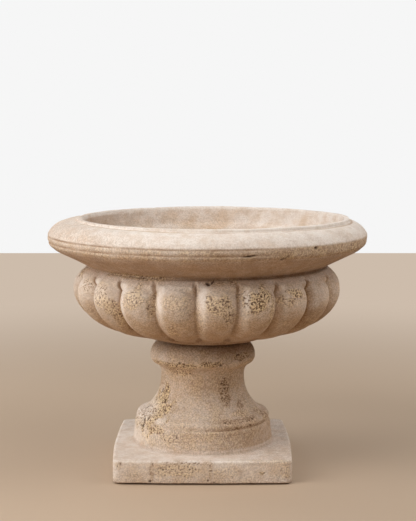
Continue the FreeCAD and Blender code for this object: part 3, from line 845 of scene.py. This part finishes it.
class Nodes:
    """Short calls for the nodes of one material."""

    def __init__(self, name):
        self.material = bpy.data.materials.new(name)
        self.material.use_nodes = True
        self.tree = self.material.node_tree
        self.tree.nodes.clear()
        self.place = self.new("ShaderNodeTexCoord").outputs["Object"]

    def new(self, kind, **settings):
        node = self.tree.nodes.new(kind)
        for name, value in settings.items():
            setattr(node, name, value)
        return node

    def put(self, socket, value):
        if isinstance(value, bpy.types.NodeSocket):
            self.tree.links.new(value, socket)
        else:
            socket.default_value = value

    def math(self, operation, *values):
        node = self.new("ShaderNodeMath", operation=operation)
        for socket, value in zip(node.inputs, values):
            self.put(socket, value)
        return node.outputs[0]

    def mix(self, share, one, other, blend="MIX"):
        node = self.new("ShaderNodeMix", data_type="RGBA", blend_type=blend, clamp_factor=True)
        for name, value in (("Factor_Float", share), ("A_Color", one), ("B_Color", other)):
            self.put(next(s for s in node.inputs if s.identifier == name), value)
        return next(s for s in node.outputs if s.identifier == "Result_Color")

    def noise(self, size, detail=4.0, rough=0.55, stretch=(1, 1, 1), place=None):
        """Noise with bumps about as wide as size, in millimetres."""
        stretched = self.new("ShaderNodeMapping")
        stretched.inputs["Scale"].default_value = stretch
        self.put(stretched.inputs["Vector"], place or self.place)
        node = self.new("ShaderNodeTexNoise")
        self.put(node.inputs["Vector"], stretched.outputs[0])
        node.inputs["Scale"].default_value = 1 / (size * MM)
        node.inputs["Detail"].default_value = detail
        node.inputs["Roughness"].default_value = rough
        return node.outputs[0]

    def turned(self, squeeze):
        """The place on a turned surface, squeezed round it, for marks that run round it."""
        parts = self.new("ShaderNodeSeparateXYZ")
        self.put(parts.inputs[0], self.place)
        x, y, z = parts.outputs
        squares = [self.math("MULTIPLY", part, part) for part in (x, y)]
        radius = self.math("SQRT", self.math("ADD", *squares))
        joint = self.new("ShaderNodeCombineXYZ")
        for socket, part in zip(joint.inputs, (x, y)):
            self.put(socket, self.math("MULTIPLY", self.math("DIVIDE", part, radius), squeeze))
        self.put(joint.inputs[2], self.math("MULTIPLY_ADD", radius, 0.6, z))
        return joint.outputs[0]

    def cut(self, value, low, high, to_low=0.0, to_high=1.0):
        """Value from low to high, smoothly, as to_low to to_high."""
        node = self.new("ShaderNodeMapRange", interpolation_type="SMOOTHSTEP")
        self.put(node.inputs["Value"], value)
        limits = {"From Min": low, "From Max": high, "To Min": to_low, "To Max": to_high}
        for name, number in limits.items():
            node.inputs[name].default_value = number
        return node.outputs[0]

    def varied(self, value, *layers):
        """Value with layers of noise added, each swinging by plus and minus its strength."""
        for texture, strength in layers:
            value = self.math("ADD", value, self.cut(texture, 0.32, 0.68, -strength, strength))
        return value

    def mask(self, name):
        return self.new("ShaderNodeAttribute", attribute_name=name).outputs["Fac"]

    def finish(self, base, roughness, height, distance, strength=1.0):
        shader = self.new("ShaderNodeBsdfPrincipled")
        relief = self.new("ShaderNodeBump")
        relief.inputs["Strength"].default_value = strength
        relief.inputs["Distance"].default_value = distance * MM
        self.put(relief.inputs["Height"], height)
        self.put(shader.inputs["Base Color"], base)
        self.put(shader.inputs["Roughness"], roughness)
        self.put(shader.inputs["Normal"], relief.outputs[0])
        shader.inputs["Specular IOR Level"].default_value = 0.25
        output = self.new("ShaderNodeOutputMaterial")
        self.put(output.inputs["Surface"], shader.outputs[0])
        return self.material


STONE = colour(216, 191, 170)
GREY_STONE = colour(201, 178, 160)
LIMEWASH = colour(240, 230, 221)
OCHRE = colour(205, 166, 118)
CREAM = colour(240, 214, 170)
CRUMB_GAP = colour(146, 108, 75)
PALE_GAP = colour(198, 168, 138)
BROWN = colour(152, 118, 87)
PIT = colour(72, 50, 36)
GRAIN = colour(220, 216, 211)
WHITE = colour(255, 255, 255)


def stone_material():
    n = Nodes("cast_stone")
    cloud, blot, speck = n.noise(58, 3), n.noise(16, 4, stretch=(1, 1, 1.7)), n.noise(3.2, 3, 0.6)
    other_cloud, stain = n.noise(41, 4, stretch=(1, 1, 1.3)), n.noise(23, 5, 0.62)
    stroke = n.noise(3.4, 3, 0.6, place=n.turned(0.022))
    base = n.mix(n.cut(other_cloud, 0.42, 0.62), STONE, GREY_STONE)
    # the whitewash mask also carries painted light and painted shade
    whitewash_light_and_shade = n.varied(n.mask("whitewash_light_and_shade"), (cloud, 0.12), (blot, 0.14), (speck, 0.12), (stroke, 0.18))
    base = n.mix(whitewash_light_and_shade, base, LIMEWASH)
    ochre = n.varied(n.mask("ochre"), (stain, 0.22), (stroke, 0.1))
    base = n.mix(n.math("MULTIPLY", ochre, 0.7), base, OCHRE)
    # the dirt mask also carries painted shade
    dirt_and_shade = n.varied(n.mask("dirt_and_shade"), (stain, 0.08), (blot, 0.07), (stroke, 0.05))
    base = n.mix(dirt_and_shade, base, BROWN)
    crumb = n.varied(n.mask("crumbs"), (n.noise(1.7, 2, 0.6), 0.15))
    gold = n.mix(n.cut(n.mask("whitewash_light_and_shade"), 0.7, 0.95), CREAM, LIMEWASH)
    gap = n.mix(n.cut(n.mask("whitewash_light_and_shade"), 0.5, 0.95), CRUMB_GAP, PALE_GAP)
    worn = n.mix(n.cut(crumb, 0.32, 0.68), gap, gold)
    worn = n.mix(n.mask("brown"), worn, n.mix(n.cut(crumb, 0.4, 0.8), BROWN, GREY_STONE))
    base = n.mix(n.math("MULTIPLY", n.mask("eaten"), 0.8), base, worn)
    base = n.mix(n.math("MULTIPLY", n.mask("pits"), 0.9), base, PIT)
    grain = n.noise(2.4, 4, 0.65)
    rough_skin = n.cut(n.mask("whitewash_light_and_shade"), 0.5, 0.95, 1.0, 0.3)
    shade = n.mix(n.cut(grain, 0.38, 0.6), GRAIN, WHITE)
    base = n.mix(rough_skin, base, n.mix(1.0, base, shade, "MULTIPLY"))
    rough = n.cut(n.noise(12, 4), 0.3, 0.7, 0.78, 0.95)
    return n.finish(base, rough, n.math("MULTIPLY", grain, rough_skin), 0.8, 0.6)


def mortar_material():
    n = Nodes("raked_mortar")
    base = n.mix(n.cut(n.noise(9, 4), 0.4, 0.6), colour(120, 100, 82), colour(158, 138, 116))
    return n.finish(base, n.cut(n.noise(4), 0.3, 0.7, 0.85, 0.97), n.noise(2.0), 0.5)


def rubber_material():
    n = Nodes("pad_rubber")
    base = n.mix(n.cut(n.noise(5, 3), 0.4, 0.65), colour(22, 21, 20), colour(38, 36, 34))
    return n.finish(base, n.cut(n.noise(3), 0.3, 0.7, 0.6, 0.8), n.noise(1.0), 0.1)


def repaint(node, material):
    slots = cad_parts[node].data.materials
    slots.clear()
    slots.append(material)


# ---------------------------------------------------------------- stage, light and camera

CAMERA_PLACE = (1.2, -2355.0, 641.5)
CAMERA_PITCH = 6.75
CAMERA_LENS = 92.82
WALL_DISTANCE = 3333.0
FLOOR_HALF = 6000.0
LAMP_DISTANCE = 2600.0
WORLD_STRENGTH = 0.02
# bearing, rise, side, watts
LAMPS = {
    "key_low": (-68, 25, 1300, 14),
    "key_side": (-60, 15, 1600, 20),
    "key_high": (-45, 45, 1300, 20),
    "fill": (75, 40, 1600, 26),
    "fill_high": (40, 60, 1600, 5),
    "front": (10, 30, 1600, 8),
    "back_left": (-120, 50, 1600, 17),
    "back_right": (130, 50, 1600, 6),
}
LAMP_COLOUR = (1.0, 0.98, 0.955)


def make_stage():
    """A floor that runs back to the height where the photograph's skirting line is."""
    near, far = -FLOOR_HALF * MM, WALL_DISTANCE * MM
    mesh = bpy.data.meshes.new("floor")
    mesh.from_pydata([(near, near, 0), (-near, near, 0), (-near, far, 0), (near, far, 0)], [], [(0, 1, 2, 3)])
    floor = bpy.data.objects.new("floor", mesh)
    bpy.context.scene.collection.objects.link(floor)
    mesh.materials.append(floor_material())


def floor_material():
    """A pale matt floor; far from the urn the camera sees its plain colour."""
    n = Nodes("pale_floor")
    away = n.new("ShaderNodeVectorMath", operation="LENGTH")
    n.put(away.inputs[0], n.place)
    path = n.new("ShaderNodeLightPath")
    seen = n.math("MAXIMUM", path.outputs["Is Camera Ray"], path.outputs["Is Glossy Ray"])
    seen = n.math("MAXIMUM", seen, path.outputs["Is Transmission Ray"])
    far = n.math("MULTIPLY", n.cut(away.outputs["Value"], 0.5, 2.0), seen)
    shader, plain = n.new("ShaderNodeBsdfPrincipled"), n.new("ShaderNodeEmission")
    shader.inputs["Base Color"].default_value = colour(192, 170, 147)
    shader.inputs["Roughness"].default_value = 0.8
    plain.inputs["Color"].default_value = colour(205, 188, 171)
    mix, output = n.new("ShaderNodeMixShader"), n.new("ShaderNodeOutputMaterial")
    for socket, value in zip(mix.inputs, (far, shader.outputs[0], plain.outputs[0])):
        n.put(socket, value)
    n.put(output.inputs["Surface"], mix.outputs[0])
    return n.material


def make_world():
    """A dim even light, with a pale wall for what looks straight at it."""
    world = bpy.data.worlds.new("studio")
    bpy.context.scene.world = world
    world.use_nodes = True
    tree = world.node_tree
    light = tree.nodes["Background"]
    light.inputs["Color"].default_value = (1.0, 0.98, 0.96, 1.0)
    light.inputs["Strength"].default_value = WORLD_STRENGTH
    pale = tree.nodes.new("ShaderNodeBackground")
    pale.inputs["Color"].default_value = colour(246, 246, 246)
    path = tree.nodes.new("ShaderNodeLightPath")
    seen = [tree.nodes.new("ShaderNodeMath") for _ in range(2)]
    for node in seen:
        node.operation = "MAXIMUM"
    mix = tree.nodes.new("ShaderNodeMixShader")
    link = tree.links.new
    link(path.outputs["Is Camera Ray"], seen[0].inputs[0])
    link(path.outputs["Is Glossy Ray"], seen[0].inputs[1])
    link(seen[0].outputs[0], seen[1].inputs[0])
    link(path.outputs["Is Transmission Ray"], seen[1].inputs[1])
    link(seen[1].outputs[0], mix.inputs[0])
    link(light.outputs[0], mix.inputs[1])
    link(pale.outputs[0], mix.inputs[2])
    link(mix.outputs[0], tree.nodes["World Output"].inputs["Surface"])


def make_lamp(name, bearing, rise, side, watts):
    """A square lamp that faces the middle of the urn."""
    lamp = bpy.data.lights.new(name, "AREA")
    lamp.size = side * MM
    lamp.energy = watts
    lamp.color = LAMP_COLOUR
    holder = bpy.data.objects.new(name, lamp)
    bpy.context.scene.collection.objects.link(holder)
    angle, up = math.radians(bearing), math.radians(rise)
    holder.location = (
        LAMP_DISTANCE * MM * math.sin(angle) * math.cos(up),
        -LAMP_DISTANCE * MM * math.cos(angle) * math.cos(up),
        (TOP / 2 + LAMP_DISTANCE * math.sin(up)) * MM,
    )
    holder.rotation_euler = (math.pi / 2 - up, 0, angle)


def make_camera():
    camera = bpy.data.cameras.new("camera")
    camera.sensor_width = 36
    camera.lens = CAMERA_LENS
    holder = bpy.data.objects.new("camera", camera)
    bpy.context.scene.collection.objects.link(holder)
    holder.location = [MM * c for c in CAMERA_PLACE]
    holder.rotation_euler = (math.radians(90 - CAMERA_PITCH), 0, 0)
    bpy.context.scene.camera = holder


stone, rubber = stone_material(), rubber_material()
make_bowl(stone)
make_pedestal(stone)
repaint("mortar_bed", mortar_material())
for pad in [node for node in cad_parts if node.startswith("foot_pad")]:
    repaint(pad, rubber)

make_stage()
make_world()
for lamp_name, lamp_facts in LAMPS.items():
    make_lamp(lamp_name, *lamp_facts)
make_camera()
bpy.context.scene.view_settings.view_transform = "Standard"
